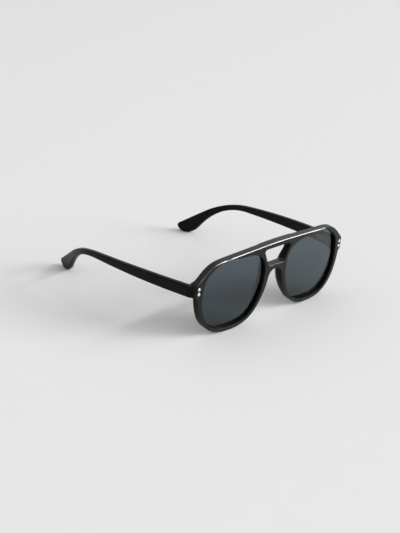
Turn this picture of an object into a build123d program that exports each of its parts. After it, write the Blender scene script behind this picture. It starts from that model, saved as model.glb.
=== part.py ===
"""Aviator sunglasses: black acetate front with a keyhole double bridge, tinted lenses,
five-barrel riveted hinges and bowed temples with a metal core.

Frame: +Z up, the front faces -Y, the temples run to +Y, X = 0 is the plane of symmetry.
The glasses stand open on the two rims and the two temple tips, and the origin is the
middle of that footprint. The wearer's left is +X. Millimetres throughout.
"""
import os
from math import cos, radians, sin

from build123d import *

# ---------------------------------------------------------------- driving dimensions
FRONT_TILT = 7.4  # pantoscopic tilt of the front, degrees
FRONT_RADIUS = 550.0  # face form of the front, seen from above
FRONT_THICKNESS = 4.6
BRIDGE_THICKNESS = 5.0
BRIDGE_HALF_WIDTH = 13.5
THROUGH = 14.0  # length of a cut that passes right through the front
BAR_TOP = 52.9  # height of the top bar above the rim bottoms, in the front's own plane
HALF_WIDTH = 62.1  # to the outer edge of an end-piece
LENS_THICKNESS = 1.5
LENS_RADIUS = 400.0  # a low base curve
LENS_RECESS = 1.9  # from the front face down to the lens, at the middle of the lens
LENS_MIDDLE = (33.0, 26.0)
GROOVE_DEPTH = 0.7
FIT = 0.03  # clearance all round pieces that are pushed into one another
EDGE_BEVEL = 0.35  # polished bevel round the front face
RIVET_U = 60.0  # place of the rivets on the front's own plane
RIVET_V = (32.1, 35.5)
RIVET_HEAD = 2.1
RIVET_HEAD_HEIGHT = 0.5
RIVET_PROUD = 0.15  # the head stands this far out of the front face
RIVET_SHANK = 1.2

TEMPLE_THICKNESS = 3.6
TEMPLE_ROUNDING = 0.9
BLADE_LENGTH = 26.1  # straight run of the top edge down to the rounded tip
JOINT_HEIGHTS = (29.0, 36.6)  # underside and top of the end-piece where the temple butts
JOINT_SETBACK = 6.2  # from the bottom of the front face back to the butt joint
JOINT_GAP = 0.15
END_PIECE_DEPTH = 4.2  # the end-piece block starts this far in front of the joint
END_PIECE_ROUNDING = 0.5
FOOTPRINT_DEPTH = 160.6  # from the front of the top bar to the ends of the temple tips

HINGE_X = 57.9
HINGE_SETBACK = 1.45  # the hinge axis is this far behind the butt joint
HINGE_HEIGHTS = (30.0, 36.3)
BARREL_RADIUS = 1.3
BARREL_COUNT = 5
BARREL_GAP = 0.06
SCREW_RADIUS = 0.65
SCREW_HEAD = (1.0, 0.6)  # radius and height
SCREW_SLOT = (1.56, 0.3, 0.25)  # length, width and depth
LEAF_THICKNESS = 0.9
LEAF_MARGIN = 1.1  # the temple leaf is this much lower than the hinge, above and below
FRONT_LEAF_WIDTH = 5.4
TEMPLE_LEAF_REACH = 12.0  # from the hinge axis back to the rounded end
ROOT_X = 59.75  # inner face of the temple's thick root
ROOT_HEIGHTS = (30.3, 34.9)
ROOT_LENGTH = 14.2
ROOT_RUN_OUT = 6.0  # the root runs out into the bow of the temple over this length
PIN_SETBACKS = (4.6, 9.4)  # the blind pins of the temple leaf, behind the hinge axis
PIN_HEAD = (0.9, 0.3)  # radius and height
PIN_SHANK = (0.55, 3.0)

CORE_DROP = 1.95  # the core runs this far below the top edge of the temple
CORE_SIZE = (1.2, 1.6)
CORE_START = 14.0  # behind the butt joint
CORE_END = 136.0

# ---------------------------------------------------------------- derived places
BAR_LEAN = BAR_TOP * sin(radians(FRONT_TILT))
FRONT_Y = BAR_LEAN - FOOTPRINT_DEPTH / 2
JOINT_Y = FRONT_Y + JOINT_SETBACK
HINGE_Y = JOINT_Y + HINGE_SETBACK
LEAF_INNER_X = HINGE_X + BARREL_RADIUS + 0.25
PAD_ROOT = FRONT_THICKNESS - 0.2  # depth of the middle of each nose pad section

# The front's own plane: x is X, y runs up the front face, z points out of the face.
front_plane = Plane(
    origin=(0, FRONT_Y, 0),
    x_dir=(1, 0, 0),
    z_dir=(0, -cos(radians(FRONT_TILT)), -sin(radians(FRONT_TILT))),
)
# The front seen from above: x is X, y runs back through the thickness.
plan_plane = Plane(
    origin=(0, FRONT_Y, 0),
    x_dir=(1, 0, 0),
    z_dir=(0, -sin(radians(FRONT_TILT)), cos(radians(FRONT_TILT))),
)

LENS_OPENING = [
    (33.0, 49.4),
    (46.0, 47.9),
    (54.3, 41.0),
    (56.8, 30.0),
    (54.6, 14.5),
    (47.0, 4.6),
    (33.0, 2.4),
    (19.6, 6.3),
    (12.1, 17.3),
    (9.1, 33.0),
    (12.0, 44.2),
    (20.5, 48.5),
]
KEYHOLE = [(11.4, 49.4), (6.5, 37.3), (-6.5, 37.3), (-11.4, 49.4)]
PAD_SECTIONS = [  # height up the front, middle and half width across, and reach behind the face
    (8.6, 16.2, 0.9, 5.2),
    (13.0, 12.8, 1.3, 6.9),
    (20.0, 9.7, 1.45, 7.9),
    (28.0, 7.9, 1.55, 8.2),
    (36.0, 8.3, 1.35, 7.6),
    (43.0, 10.3, 0.9, 6.0),
]
# The end-piece block as (x, height) corners: where it leaves the shoulder, and at the joint.
SHOULDER_SECTION = [(55.5, 29.2), (62.0, 29.2), (62.0, 37.3), (57.0, 42.2), (55.5, 42.2)]
JOINT_SECTION = [(56.4, 29.0), (63.4, 29.0), (63.4, 35.9), (62.6, 36.6), (56.4, 36.6)]

os.makedirs("parts", exist_ok=True)


def save(builder, name):
    builder.part.label = name
    export_step(builder.part, f"parts/{name}.step")


def sagitta(u):
    """How far the front face has curved back at u from the middle."""
    return u * u / (2 * FRONT_RADIUS)


def front_point(u, v, depth=0.0):
    """World place of a point on the front, at a depth behind its face."""
    return front_plane.from_local_coords(Vector(u, v, -sagitta(u) - depth))


def curved_slab(thickness, half_width=HALF_WIDTH + 6, height=60.0):
    """The bent sheet that the front is cut from."""
    with BuildPart() as slab:
        with BuildSketch(plan_plane):
            with BuildLine():
                edge = sagitta(half_width)
                ThreePointArc((-half_width, edge), (0, 0), (half_width, edge))
                Line((half_width, edge), (half_width, edge + thickness))
                ThreePointArc(
                    (half_width, edge + thickness), (0, thickness), (-half_width, edge + thickness)
                )
                Line((-half_width, edge + thickness), (-half_width, edge))
            make_face()
        extrude(amount=height, both=True)
    return slab.part


# ---------------------------------------------------------------- sketches of the front
with BuildSketch(front_plane) as front_outline:
    with BuildLine():
        top_edge = Spline(
            (0, BAR_TOP), (22, 52.0), (40, 50.6), (50, 48.6), (56.3, 43.9), (61.9, 37.9),
            tangents=[(1, 0), (1, -0.9)],
        )
        Line(top_edge @ 1, (HALF_WIDTH, 30.3))
        Line((HALF_WIDTH, 30.3), (60.4, 28.2))
        rim_edge = Spline(
            (60.4, 28.2), (59.1, 19.5), (54.8, 9.0), (46.5, 2.0), (35, 0), (24.2, 1.6),
            (13.9, 9.2), (8.3, 19.5), (5.7, 29),
            tangents=[(-0.08, -1), (-0.2, 1)],
        )
        nose_arch = Spline(rim_edge @ 1, (4.2, 32.6), (0, 34.2), tangents=[(-0.2, 1), (-1, 0)])
        Line(nose_arch @ 1, top_edge @ 0)
    make_face()
    by_width = front_outline.vertices().group_by(Axis.X)
    fillet(by_width[-1] + by_width[-2], radius=0.7)
    mirror(about=Plane.YZ)

with BuildSketch(front_plane) as lens_opening:
    with BuildLine():
        Spline(*LENS_OPENING, periodic=True)
    make_face()

with BuildSketch(front_plane) as keyhole:
    with BuildLine():
        Polyline(*KEYHOLE, close=True)
    make_face()
    fillet(keyhole.vertices().group_by(Axis.Z)[-1], radius=1.5)
    fillet(keyhole.vertices().group_by(Axis.Z)[0], radius=0.6)


def opening_loop(grow):
    """Points of the rim opening, grown outwards by grow. Local to the front's plane."""
    with BuildLine(mode=Mode.PRIVATE) as loop:
        Spline(*LENS_OPENING, periodic=True)
    edge = loop.edge()
    count = 2 * len(LENS_OPENING)
    points = []
    for index in range(count):
        along = edge % (index / count)
        points.append(edge @ (index / count) + Vector(-along.Y, along.X) * grow)
    return points


def lens_blank(thickness, grow, fit=0.0):
    """A spherical lens cut to the rim opening, grown outwards by grow."""
    seat = front_point(*LENS_MIDDLE, LENS_RECESS)
    turn = LENS_MIDDLE[0] / FRONT_RADIUS
    outward = (front_plane.z_dir + front_plane.x_dir * turn).normalized()
    with BuildPart() as blank:
        with BuildSketch(front_plane):
            with BuildLine():
                Spline(*opening_loop(grow), periodic=True)
            make_face()
        extrude(amount=-THROUGH)
        with Locations(seat - outward * LENS_RADIUS):
            Sphere(LENS_RADIUS + fit, mode=Mode.INTERSECT)
            Sphere(LENS_RADIUS - thickness - fit, mode=Mode.SUBTRACT)
    return blank.part


# ---------------------------------------------------------------- hinge (left side, +X)
def barrel_levels(first):
    """Bottom heights of every second barrel of the hinge, and the height of one barrel."""
    low, high = HINGE_HEIGHTS
    pitch = (high - low + BARREL_GAP) / BARREL_COUNT
    return [low + pitch * index for index in range(first, BARREL_COUNT, 2)], pitch - BARREL_GAP


with BuildPart() as hinge_leaf_front:
    levels, barrel_height = barrel_levels(0)
    low, high = HINGE_HEIGHTS
    with BuildSketch(Plane.XY.offset(low)):
        with Locations((HINGE_X - BARREL_RADIUS, JOINT_Y - LEAF_THICKNESS)):
            Rectangle(FRONT_LEAF_WIDTH, LEAF_THICKNESS, align=(Align.MIN, Align.MIN))
    extrude(amount=high - low)
    for level in levels:
        with BuildSketch(Plane.XY.offset(level)):
            with Locations((HINGE_X, HINGE_Y)):
                Circle(BARREL_RADIUS)
            with Locations((HINGE_X, JOINT_Y)):
                Rectangle(2 * BARREL_RADIUS, HINGE_SETBACK, align=(Align.CENTER, Align.MIN))
        extrude(amount=barrel_height)
    with BuildSketch(Plane.XY.offset(low)):
        with Locations((HINGE_X, HINGE_Y)):
            Circle(SCREW_RADIUS + FIT)
    extrude(amount=high - low, mode=Mode.SUBTRACT)
    with BuildSketch(Plane.XY.offset(high)):
        with Locations((HINGE_X, HINGE_Y)):
            Circle(SCREW_HEAD[0] + FIT)
    extrude(amount=0.05 - SCREW_HEAD[1], mode=Mode.SUBTRACT)

with BuildPart() as hinge_screw:
    low, high = HINGE_HEIGHTS
    with BuildSketch(Plane.XY.offset(low - 0.1)):
        with Locations((HINGE_X, HINGE_Y)):
            Circle(SCREW_RADIUS)
    extrude(amount=high - low)
    head_top = high + 0.05 + FIT
    with BuildSketch(Plane.XY.offset(head_top)):
        with Locations((HINGE_X, HINGE_Y)):
            Circle(SCREW_HEAD[0])
    extrude(amount=-SCREW_HEAD[1])
    with BuildSketch(Plane.XY.offset(head_top)):
        with Locations((HINGE_X, HINGE_Y)):
            Rectangle(*SCREW_SLOT[:2])
    extrude(amount=-SCREW_SLOT[2], mode=Mode.SUBTRACT)

with BuildPart() as hinge_leaf_temple:
    levels, barrel_height = barrel_levels(1)
    low, high = HINGE_HEIGHTS
    middle = (low + high) / 2
    leaf_start = BARREL_RADIUS + 0.2
    leaf_height = high - low - 2 * LEAF_MARGIN
    with BuildSketch(Plane.YZ.offset(LEAF_INNER_X)):
        with Locations((HINGE_Y + leaf_start, middle)):
            Rectangle(TEMPLE_LEAF_REACH - leaf_start, leaf_height, align=(Align.MIN, Align.CENTER))
    extrude(amount=LEAF_THICKNESS)
    fillet(hinge_leaf_temple.edges().filter_by(Axis.X).group_by(Axis.Y)[-1], radius=1.6)
    for level in levels:
        with BuildSketch(Plane.XY.offset(level)):
            with Locations((HINGE_X, HINGE_Y)):
                Circle(BARREL_RADIUS)
            with Locations((HINGE_X, HINGE_Y)):
                Rectangle(
                    LEAF_INNER_X + LEAF_THICKNESS - HINGE_X, BARREL_RADIUS, align=(Align.MIN, Align.MIN)
                )
            with Locations((LEAF_INNER_X, HINGE_Y)):
                Rectangle(LEAF_THICKNESS, leaf_start, align=(Align.MIN, Align.MIN))
        extrude(amount=barrel_height)
    with BuildSketch(Plane.XY.offset(low)):
        with Locations((HINGE_X, HINGE_Y)):
            Circle(SCREW_RADIUS + FIT)
    extrude(amount=high - low, mode=Mode.SUBTRACT)
    with BuildSketch(Plane.YZ.offset(LEAF_INNER_X)):
        with Locations(*[(HINGE_Y + setback, middle) for setback in PIN_SETBACKS]):
            Circle(PIN_SHANK[0] + FIT)
    extrude(amount=LEAF_THICKNESS, mode=Mode.SUBTRACT)


def front_rivet(v):
    """Domed rivet through the end-piece and the front leaf, square to the front face."""
    seat = front_point(RIVET_U, v)
    toward = (Vector(seat.X, JOINT_Y, seat.Z) - seat).normalized()
    rivet_plane = Plane(origin=seat, x_dir=(1, 0, 0), z_dir=toward)
    with BuildPart() as rivet:
        with BuildSketch(rivet_plane.offset(-RIVET_PROUD)):
            Circle(RIVET_HEAD / 2)
        extrude(amount=RIVET_HEAD_HEIGHT)
        fillet(rivet.edges().sort_by(Axis.Y)[0], radius=0.3)
        with BuildSketch(rivet_plane):
            Circle(RIVET_SHANK / 2)
        extrude(amount=JOINT_Y - seat.Y)
    return rivet


rivets = [front_rivet(v) for v in RIVET_V]
for rivet in rivets:
    hinge_leaf_front.part = hinge_leaf_front.part - rivet.part

# ---------------------------------------------------------------- front frame
with BuildPart() as end_piece:
    # the block that grows out of the shoulder, carries the hinge and butts against the temple
    for place, corners in ((JOINT_Y - END_PIECE_DEPTH, SHOULDER_SECTION), (JOINT_Y, JOINT_SECTION)):
        with BuildSketch(Plane.XZ.offset(-place)):
            with BuildLine():
                Polyline(*corners, close=True)
            make_face()
    loft()
    lengthwise = end_piece.edges().filter_by(lambda edge: abs((edge @ 1 - edge @ 0).Y) > END_PIECE_DEPTH / 2)
    fillet(lengthwise.sort_by(Axis.X)[-3:], radius=END_PIECE_ROUNDING)
    # kept clear of the lens
    with BuildSketch(front_plane):
        with BuildLine():
            Spline(*opening_loop(0.3), periodic=True)
        make_face()
    extrude(amount=THROUGH, both=True, mode=Mode.SUBTRACT)

with BuildPart() as bridge_block:
    # the bridge is thicker than the rims
    with BuildSketch(front_plane):
        with Locations((0, 42.0)):
            Rectangle(2 * BRIDGE_HALF_WIDTH, 30.0)
    extrude(amount=-THROUGH)
    add(curved_slab(BRIDGE_THICKNESS), mode=Mode.INTERSECT)
    extrude(to_extrude=front_outline.sketch, amount=-THROUGH, mode=Mode.INTERSECT)

with BuildPart() as front_frame:
    extrude(to_extrude=front_outline.sketch, amount=-THROUGH)
    add(curved_slab(FRONT_THICKNESS), mode=Mode.INTERSECT)
    add(bridge_block.part)
    other_opening = mirror(lens_opening.sketch, about=Plane.YZ, mode=Mode.PRIVATE)
    for hole in (lens_opening.sketch, other_opening, keyhole.sketch):
        extrude(to_extrude=hole, amount=THROUGH, both=True, mode=Mode.SUBTRACT)
    front_face = front_frame.faces().filter_by(GeomType.CYLINDER).sort_by(SortBy.AREA)[-1]
    chamfer(front_face.edges(), length=EDGE_BEVEL)
    add(end_piece.part)
    add(mirror(end_piece.part, about=Plane.YZ, mode=Mode.PRIVATE))
    groove = lens_blank(LENS_THICKNESS, GROOVE_DEPTH + FIT, fit=FIT)
    for cutter in [groove, hinge_leaf_front.part] + [rivet.part for rivet in rivets]:
        add(cutter, mode=Mode.SUBTRACT)
        add(mirror(cutter, about=Plane.YZ, mode=Mode.PRIVATE), mode=Mode.SUBTRACT)
save(front_frame, "front_frame")

# ---------------------------------------------------------------- lenses and nose pads
with BuildPart() as lens:
    add(lens_blank(LENS_THICKNESS, GROOVE_DEPTH))

with BuildPart() as nose_pad:
    # a long low swelling that follows the nasal side of the rim
    for height, middle, half_width, reach in PAD_SECTIONS:
        with BuildSketch(plan_plane.offset(height)):
            with Locations((middle, PAD_ROOT)):
                Ellipse(half_width, reach - PAD_ROOT)
    loft()
    add(curved_slab(FRONT_THICKNESS), mode=Mode.SUBTRACT)
    add(front_frame.part, mode=Mode.SUBTRACT)

# ---------------------------------------------------------------- temple (left side, +X)

def temple_path():
    """Line down the middle of the temple, seen from above: a slow bow, then in behind the ear."""
    with BuildLine() as path:
        bow = ThreePointArc((61.6, JOINT_Y), (65.6, JOINT_Y + 45.0), (65.7, JOINT_Y + 88.0))
        Spline(bow @ 1, (51.6, JOINT_Y + 152.0), tangents=[bow % 1, (-0.16, 1)])
    return path.line


def top_line(drop):
    """Top edge of the temple seen from the side, lowered by drop: bow, bend and blade."""
    bow = ThreePointArc(
        (JOINT_Y, JOINT_HEIGHTS[1] - drop), (JOINT_Y + 42, 34.9 - drop), (JOINT_Y + 86, 31.8 - drop)
    )
    bend = Spline(bow @ 1, (JOINT_Y + 124, 20.0 - drop), tangents=[bow % 1, (0.85, -0.53)])
    blade = Line(bend @ 1, bend @ 1 + (bend % 1) * BLADE_LENGTH)
    return bow, blade


with BuildPart() as temple_core:
    with BuildSketch(Plane.YZ):
        with BuildLine():
            top_line(CORE_DROP)
        trace(line_width=CORE_SIZE[1])
    extrude(amount=80)
    with BuildSketch(Plane.XY.offset(-5)):
        add(temple_path())
        trace(line_width=CORE_SIZE[0])
    extrude(amount=60, mode=Mode.INTERSECT)
    with BuildSketch(Plane.XY.offset(-5)):
        with Locations((50, JOINT_Y + CORE_START)):
            Rectangle(60, CORE_END - CORE_START, align=(Align.CENTER, Align.MIN))
    extrude(amount=60, mode=Mode.INTERSECT)


def temple_pin(setback):
    """Blind pin that holds the temple leaf: a low head on the leaf and a shank in the acetate."""
    place = (LEAF_INNER_X, HINGE_Y + setback, sum(HINGE_HEIGHTS) / 2)
    seat = Plane(origin=place, x_dir=(0, 1, 0), z_dir=(1, 0, 0))
    with BuildPart() as pin:
        with BuildSketch(seat):
            Circle(PIN_HEAD[0])
        extrude(amount=-PIN_HEAD[1])
        with BuildSketch(seat):
            Circle(PIN_SHANK[0])
        extrude(amount=PIN_SHANK[1])
    return pin


temple_pins = [temple_pin(setback) for setback in PIN_SETBACKS]

with BuildPart() as temple_root:
    # a flat pad inside the temple that the hinge leaf is let into
    butt = JOINT_Y - JOINT_GAP
    run_out = JOINT_Y + ROOT_LENGTH + ROOT_RUN_OUT
    outer_x = ROOT_X + 2.6
    with BuildSketch(Plane.XY.offset(ROOT_HEIGHTS[0])):
        with BuildLine():
            Polyline(
                (ROOT_X, butt), (ROOT_X, JOINT_Y + ROOT_LENGTH), (outer_x, run_out), (outer_x, butt),
                close=True,
            )
        make_face()
    extrude(amount=ROOT_HEIGHTS[1] - ROOT_HEIGHTS[0])
    inner_face = temple_root.faces().sort_by(Axis.X)[0]
    fillet(inner_face.edges().filter_by(Axis.Y), radius=0.5)

with BuildPart() as temple:
    with BuildSketch(Plane.YZ):
        with BuildLine():
            top, blade = top_line(0)
            tip = Spline(
                blade @ 1, (JOINT_Y + 141.5, 0), tangents=[blade % 1, (-1, 0)], tangent_scalars=[1.6, 1.6]
            )
            heel = Spline(tip @ 1, (JOINT_Y + 127.5, 8.8), tangents=[(-1, 0), (-0.68, 0.74)])
            belly = Spline(heel @ 1, (JOINT_Y + 86, 27.6), tangents=[(-0.68, 0.74), (-1, 0.02)])
            underside = Spline(
                belly @ 1, (JOINT_Y, JOINT_HEIGHTS[0]), tangents=[(-1, 0.02), (-1, 0.02)]
            )
            Line(underside @ 1, top @ 0)
        make_face()
    extrude(amount=80)
    with BuildSketch(Plane.XY.offset(-5)):
        add(temple_path())
        trace(line_width=TEMPLE_THICKNESS)
    extrude(amount=60, mode=Mode.INTERSECT)
    butt_end = temple.faces().sort_by(Axis.Y)[0]
    long_edges = temple.edges().filter_by(lambda edge: edge.length > TEMPLE_THICKNESS + 0.1)
    fillet(long_edges - butt_end.edges(), radius=TEMPLE_ROUNDING)
    add(temple_root.part)
    with BuildSketch(Plane.XY.offset(-5)):
        with Locations((60, JOINT_Y)):
            Rectangle(20, 2 * JOINT_GAP)
    extrude(amount=60, mode=Mode.SUBTRACT)
    for cutter in [temple_core.part, hinge_leaf_temple.part] + [pin.part for pin in temple_pins]:
        add(cutter, mode=Mode.SUBTRACT)

# ---------------------------------------------------------------- write every piece, both sides
one_side = {
    "lens": lens,
    "nose_pad": nose_pad,
    "hinge_leaf_front": hinge_leaf_front,
    "hinge_leaf_temple": hinge_leaf_temple,
    "hinge_screw": hinge_screw,
    "front_rivet_lower": rivets[0],
    "front_rivet_upper": rivets[1],
    "temple": temple,
    "temple_core": temple_core,
    "temple_pin_front": temple_pins[0],
    "temple_pin_rear": temple_pins[1],
}
for name, builder in one_side.items():
    save(builder, f"{name}_left")
    with BuildPart() as other_side:
        mirror(builder.part, about=Plane.YZ)
    save(other_side, f"{name}_right")
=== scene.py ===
"""Aviator sunglasses, the visual model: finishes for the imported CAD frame, on a pale studio floor.

Metres, +Z up, the front faces -Y.
"""
from math import cos, radians, sin

import bpy
from mathutils import Matrix, Vector

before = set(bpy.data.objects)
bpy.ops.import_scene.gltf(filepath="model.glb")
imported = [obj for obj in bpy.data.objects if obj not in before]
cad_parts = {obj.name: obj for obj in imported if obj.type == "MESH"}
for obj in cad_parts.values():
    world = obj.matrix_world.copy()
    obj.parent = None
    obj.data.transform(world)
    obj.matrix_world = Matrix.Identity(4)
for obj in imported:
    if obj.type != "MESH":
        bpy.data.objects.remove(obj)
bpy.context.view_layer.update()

# ---------------------------------------------------------------- camera
VIEW_AZIMUTH = radians(-40.63)
VIEW_ELEVATION = radians(23.01)
VIEW_DISTANCE = 0.796
VIEW_TARGET = Vector((0.00077, -0.00442, 0.01108))
FOCAL_LENGTH = 80.07  # mm
SENSOR_WIDTH = 36.0  # mm

# ---------------------------------------------------------------- light; toward points at the source
AMBIENT = 0.49
GLOW = 0.4  # about what the middle of the glow adds to the ambient strength
GLOW_TOWARD = (0.6, 0.57, 0.55)
GLOW_EDGE = 0.86  # about the cosine of the angle at which the glow has faded out
KEY_TOWARD = (0.57, -0.79, 0.24)
KEY_STRENGTH = 2.8
KEY_SPREAD = radians(30)
STRIP_DISTANCE = 6.0
STRIPS = (
    dict(toward=(0.6, -0.553, 0.576), along=(0.8, 0.48, -0.37), length=4.6, width=0.2, power=92.0),
    dict(toward=(0.133, -0.726, 0.675), along=(0.98, 0.2, 0.01), length=4.6, width=0.3, power=55.0),
    dict(toward=(-0.38, -0.81, 0.44), along=(-0.77, 0.0, -0.5), length=3.2, width=0.2, power=26.0),
)

# ---------------------------------------------------------------- colours, darkest and lightest
ACETATE = ((0.0045, 0.0045, 0.0045), (0.0075, 0.0075, 0.008))
# the lens colours run from its bottom to its top: its tinted colour, darkened towards the bottom by
# painted shade
LENS_TINT_AND_SHADE = ((0.024, 0.038, 0.044), (0.078, 0.108, 0.134))
NICKEL = ((0.5, 0.48, 0.46), (0.62, 0.6, 0.57))
STEEL = ((0.45, 0.45, 0.45), (0.6, 0.6, 0.6))
BRIGHT_STEEL = ((0.85, 0.85, 0.86), (0.93, 0.93, 0.93))
PAPER = ((0.80, 0.80, 0.80), (0.805, 0.805, 0.805))

# ---------------------------------------------------------------- edges of the front, by their normals
FACE_FACING = -0.95  # the normal's Y is over this on the bevels,
BEVEL_FACING = -0.5  # and over this on the walls and the rear
BEVEL_RISE = 0.2  # the normal's Z is over this on the bright bevels,
TOP_RISE = 0.4  # and over this on the top walls,
TOP_LEVEL = 0.036  # which lie above this height
BEVEL_SLOT = 1  # material slots, after the face's, which is 0
TOP_SLOT = 2
WALL_SLOT = 3

FLOOR_HALF = 3.0


# ---------------------------------------------------------------- node helpers
def new_material(name):
    """A node material, with its tree and its Principled shader."""
    material = bpy.data.materials.new(name)
    material.use_nodes = True
    tree = material.node_tree
    return material, tree, tree.nodes["Principled BSDF"]


def object_noise(tree, scale, detail, stretch=(1, 1, 1)):
    """Noise in the object's own space, in cells per metre, optionally stretched."""
    coords = tree.nodes.new("ShaderNodeTexCoord")
    mapping = tree.nodes.new("ShaderNodeMapping")
    mapping.inputs["Scale"].default_value = stretch
    noise = tree.nodes.new("ShaderNodeTexNoise")
    noise.inputs["Scale"].default_value = scale
    noise.inputs["Detail"].default_value = detail
    tree.links.new(coords.outputs["Object"], mapping.inputs["Vector"])
    tree.links.new(mapping.outputs["Vector"], noise.inputs["Vector"])
    return noise.outputs["Fac"]


def ramp(tree, source, colours, start=0.3, end=0.7):
    """A colour ramp from the darkest to the lightest over part of the source's range."""
    node = tree.nodes.new("ShaderNodeValToRGB")
    for stop, position, colour in zip(node.color_ramp.elements, (start, end), colours):
        stop.position = position
        stop.color = (*colour, 1)
    tree.links.new(source, node.inputs["Fac"])
    return node.outputs["Color"]


def spread(tree, source, low, high):
    """The source's 0 to 1 mapped onto low to high."""
    node = tree.nodes.new("ShaderNodeMapRange")
    node.inputs["To Min"].default_value = low
    node.inputs["To Max"].default_value = high
    tree.links.new(source, node.inputs["Value"])
    return node.outputs["Result"]


def bump(tree, source, strength, distance):
    """A normal tilted by the source's slopes."""
    node = tree.nodes.new("ShaderNodeBump")
    node.inputs["Strength"].default_value = strength
    node.inputs["Distance"].default_value = distance
    tree.links.new(source, node.inputs["Height"])
    return node.outputs["Normal"]


# ---------------------------------------------------------------- materials
def acetate(name, gloss, roughness):
    """Black acetate: faint depth in the black, buffed unevenly, with a soft polish ripple."""
    material, tree, shader = new_material(name)
    cloud = object_noise(tree, scale=90, detail=3)
    tree.links.new(ramp(tree, cloud, ACETATE), shader.inputs["Base Color"])
    buffing = object_noise(tree, scale=300, detail=3)
    tree.links.new(spread(tree, buffing, *roughness), shader.inputs["Roughness"])
    ripple = object_noise(tree, scale=160, detail=2)
    tree.links.new(bump(tree, ripple, strength=0.012, distance=0.0002), shader.inputs["Normal"])
    shader.inputs["Specular IOR Level"].default_value = gloss
    shader.inputs["IOR"].default_value = 1.49
    return material


def lens_tint_and_shade():
    """Blue-grey sun lens: a hard clear surface over tinted glass, darkened towards the bottom by painted
    shade.
    """
    material, tree, shader = new_material("lens_tint_and_shade")
    coords = tree.nodes.new("ShaderNodeTexCoord")
    parts = tree.nodes.new("ShaderNodeSeparateXYZ")
    tree.links.new(coords.outputs["Generated"], parts.inputs["Vector"])
    # painted shade: the colour darkens from the top of the lens to its bottom
    tint_and_shade = ramp(tree, parts.outputs["Z"], LENS_TINT_AND_SHADE, start=0.0, end=1.0)
    tree.links.new(tint_and_shade, shader.inputs["Base Color"])
    film = object_noise(tree, scale=300, detail=2)
    tree.links.new(spread(tree, film, low=0.0, high=0.03), shader.inputs["Roughness"])
    shader.inputs["Transmission Weight"].default_value = 1.0
    shader.inputs["IOR"].default_value = 1.5
    return material


def brushed_metal(name, colours, roughness, stretch=(1, 1, 1)):
    """Brushed metal: fine lines along the axis whose stretch is least, or an even grain if none is."""
    material, tree, shader = new_material(name)
    lines = object_noise(tree, scale=2500, detail=5, stretch=stretch)
    tree.links.new(ramp(tree, lines, colours), shader.inputs["Base Color"])
    tree.links.new(spread(tree, lines, *roughness), shader.inputs["Roughness"])
    tree.links.new(bump(tree, lines, strength=0.15, distance=0.00002), shader.inputs["Normal"])
    shader.inputs["Metallic"].default_value = 1.0
    return material


def floor_paper():
    """Pale matt paper with a trace of grain."""
    material, tree, shader = new_material("floor_paper")
    grain = object_noise(tree, scale=60, detail=3)
    tree.links.new(ramp(tree, grain, PAPER), shader.inputs["Base Color"])
    shader.inputs["Roughness"].default_value = 0.9
    shader.inputs["Specular IOR Level"].default_value = 0.0
    return material


# ---------------------------------------------------------------- set
def add_camera():
    """The camera on its arm from the target."""
    back = Vector((
        sin(VIEW_AZIMUTH) * cos(VIEW_ELEVATION),
        -cos(VIEW_AZIMUTH) * cos(VIEW_ELEVATION),
        sin(VIEW_ELEVATION),
    ))
    data = bpy.data.cameras.new("camera")
    data.lens = FOCAL_LENGTH
    data.sensor_width = SENSOR_WIDTH
    camera = bpy.data.objects.new("camera", data)
    camera.location = VIEW_TARGET + back * VIEW_DISTANCE
    camera.rotation_euler = back.to_track_quat("Z", "Y").to_euler()
    bpy.context.collection.objects.link(camera)
    bpy.context.scene.camera = camera


def add_floor(material):
    """A square of floor round the origin."""
    signs = ((-1, -1), (1, -1), (1, 1), (-1, 1))
    corners = [(x * FLOOR_HALF, y * FLOOR_HALF, 0) for x, y in signs]
    mesh = bpy.data.meshes.new("floor")
    mesh.from_pydata(corners, [], [(0, 1, 2, 3)])
    mesh.materials.append(material)
    floor = bpy.data.objects.new("floor", mesh)
    bpy.context.collection.objects.link(floor)


def add_key():
    """Light from low on one side, with the long soft shadow of a large source."""
    data = bpy.data.lights.new("key", "SUN")
    data.energy = KEY_STRENGTH
    data.angle = KEY_SPREAD
    light = bpy.data.objects.new("key", data)
    light.rotation_euler = Vector(KEY_TOWARD).to_track_quat("Z", "Y").to_euler()
    bpy.context.collection.objects.link(light)


def add_strip(toward, along, length, width, power):
    """A long narrow lamp facing the glasses, which draws a white line on the bevels."""
    data = bpy.data.lights.new("strip", "AREA")
    data.shape = "RECTANGLE"
    data.size = length
    data.size_y = width
    data.energy = power
    light = bpy.data.objects.new("strip", data)
    facing = Vector(toward).normalized()
    across = facing.cross(Vector(along)).normalized()
    turn = Matrix((across.cross(facing), across, facing)).transposed().to_4x4()
    light.matrix_world = Matrix.Translation(facing * STRIP_DISTANCE) @ turn
    light.visible_camera = False
    bpy.context.collection.objects.link(light)


def add_world():
    """An even white surround with one glow behind the glasses."""
    world = bpy.data.worlds.new("studio")
    world.use_nodes = True
    tree = world.node_tree
    background = tree.nodes["Background"]
    coords = tree.nodes.new("ShaderNodeTexCoord")
    facing = tree.nodes.new("ShaderNodeVectorMath")
    facing.operation = "DOT_PRODUCT"
    facing.inputs[1].default_value = GLOW_TOWARD
    glow = tree.nodes.new("ShaderNodeMapRange")
    glow.interpolation_type = "SMOOTHSTEP"
    glow.inputs["From Min"].default_value = GLOW_EDGE
    glow.inputs["To Min"].default_value = AMBIENT
    glow.inputs["To Max"].default_value = AMBIENT + GLOW
    tree.links.new(coords.outputs["Generated"], facing.inputs[0])
    tree.links.new(facing.outputs["Value"], glow.inputs["Value"])
    tree.links.new(glow.outputs["Result"], background.inputs["Strength"])
    background.inputs["Color"].default_value = (1, 1, 1, 1)
    bpy.context.scene.world = world


# ---------------------------------------------------------------- finish of each CAD node
def finish_of(finishes, node_name):
    """The finish whose key is the longest start of the node's name."""
    keys = [key for key in finishes if node_name.startswith(key)]
    return finishes[max(keys, key=len)]


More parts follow.
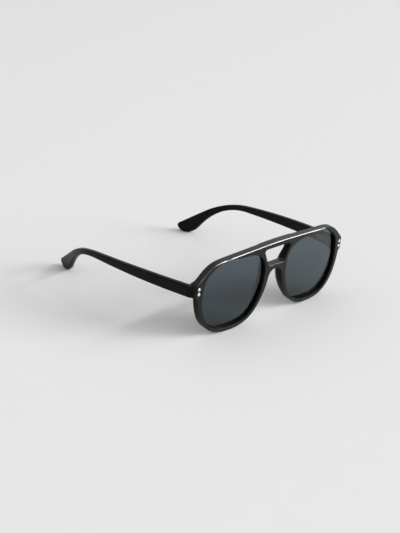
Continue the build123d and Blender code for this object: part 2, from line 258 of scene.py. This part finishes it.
def finish_edges(node, bevel, top, wall):
    """Gives the front's rising bevels, its top walls, and its other walls with the rear a finish each."""
    for finish in (bevel, top, wall):
        node.data.materials.append(finish)
    turn = node.matrix_world.to_3x3()
    for polygon in node.data.polygons:
        facing = turn @ polygon.normal
        level = (node.matrix_world @ polygon.center).z
        if facing.y > BEVEL_FACING:
            is_top = facing.z > TOP_RISE and level > TOP_LEVEL
            polygon.material_index = TOP_SLOT if is_top else WALL_SLOT
        elif facing.y > FACE_FACING and facing.z > BEVEL_RISE:
            polygon.material_index = BEVEL_SLOT


def finish_nodes(nodes):
    """Gives every CAD node its finish, and the front one for each kind of edge as well."""
    finishes = {
        "front_frame": acetate("front_acetate", gloss=0.27, roughness=(0.06, 0.12)),
        "temple": acetate("temple_acetate", gloss=0.06, roughness=(0.26, 0.31)),
        "nose_pad": acetate("pad_acetate", gloss=0.3, roughness=(0.12, 0.22)),
        "lens": lens_tint_and_shade(),
        "hinge_leaf": brushed_metal("hinge_nickel", NICKEL, roughness=(0.22, 0.4), stretch=(0.1, 1, 1)),
        "hinge_screw": brushed_metal("screw_steel", STEEL, roughness=(0.15, 0.35), stretch=(1, 1, 0.1)),
        "temple_core": brushed_metal("core_wire", NICKEL, roughness=(0.3, 0.5), stretch=(1, 0.05, 1)),
        "temple_pin": brushed_metal("pin_steel", STEEL, roughness=(0.2, 0.4), stretch=(0.1, 1, 1)),
        "front_rivet": brushed_metal("rivet_steel", BRIGHT_STEEL, roughness=(0.1, 0.22)),
    }
    for node_name, node in nodes.items():
        node.data.materials.clear()
        node.data.materials.append(finish_of(finishes, node_name))
    finish_edges(
        nodes["front_frame"],
        bevel=acetate("bevel_acetate", gloss=0.65, roughness=(0.06, 0.12)),
        top=acetate("top_acetate", gloss=0.5, roughness=(0.3, 0.4)),
        wall=acetate("wall_acetate", gloss=0.06, roughness=(0.26, 0.31)),
    )


add_camera()
add_floor(floor_paper())
add_world()
add_key()
for strip in STRIPS:
    add_strip(**strip)
bpy.context.scene.view_settings.view_transform = "Standard"
finish_nodes(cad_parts)
